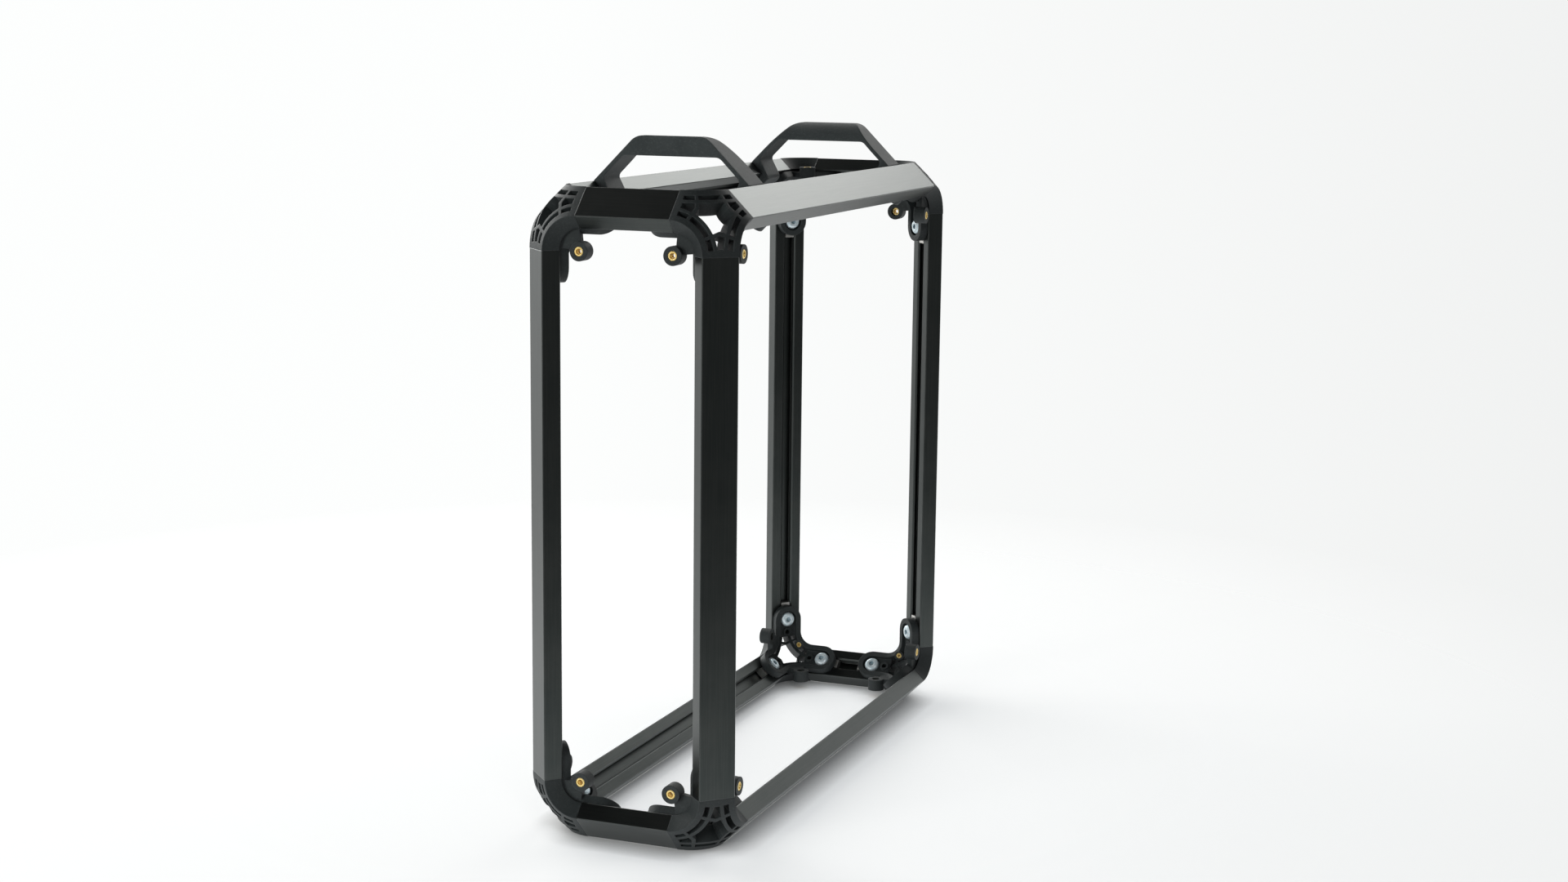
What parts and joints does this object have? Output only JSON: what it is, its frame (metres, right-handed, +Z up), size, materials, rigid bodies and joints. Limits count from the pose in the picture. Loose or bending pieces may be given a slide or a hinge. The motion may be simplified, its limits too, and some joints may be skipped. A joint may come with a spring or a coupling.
{
  "type": "open-frame computer case",
  "caption": "Open-frame computer case of slotted black bars with rounded lattice corners, inner corner brackets with threaded inserts, and carrying handles across the top.",
  "frame": {"origin": "centre of the footprint, on the surface that the case stands on", "axes": "+Z up through the handles, +Y from the front to the rear, +X to the right seen from the front"},
  "size_m": [0.117, 0.365, 0.3695],
  "materials": {
    "bar": "satin black anodised",
    "cap": "fine-grained matt black",
    "bracket": "fine-grained matt black",
    "handle": "matt black with fine layer lines",
    "screw": "bright zinc",
    "slot_nut": "nickel plated",
    "insert": "knurled brass"
  },
  "bodies": {
    "root": {"post_front_left": "bar", "corner_caps_front_left": "cap", "corner_brackets_front_left": "bracket", "post_rear_left": "bar", "corner_caps_rear_left": "cap", "corner_brackets_rear_left": "bracket", "rail_bottom_left": "bar", "rail_top_left": "bar", "post_front_right": "bar", "corner_caps_front_right": "cap", "corner_brackets_front_right": "bracket", "post_rear_right": "bar", "corner_caps_rear_right": "cap", "corner_brackets_rear_right": "bracket", "rail_bottom_right": "bar", "rail_top_right": "bar", "crossbar_bottom_front": "bar", "crossbar_top_front": "bar", "crossbar_bottom_rear": "bar", "crossbar_top_rear": "bar", "handle_front": "handle", "handle_rear": "handle", "bracket_screws": "screw", "handle_screws": "screw", "bracket_slot_nuts": "slot_nut", "handle_slot_nuts": "slot_nut", "threaded_inserts": "insert"}
  },
  "joints": []
}
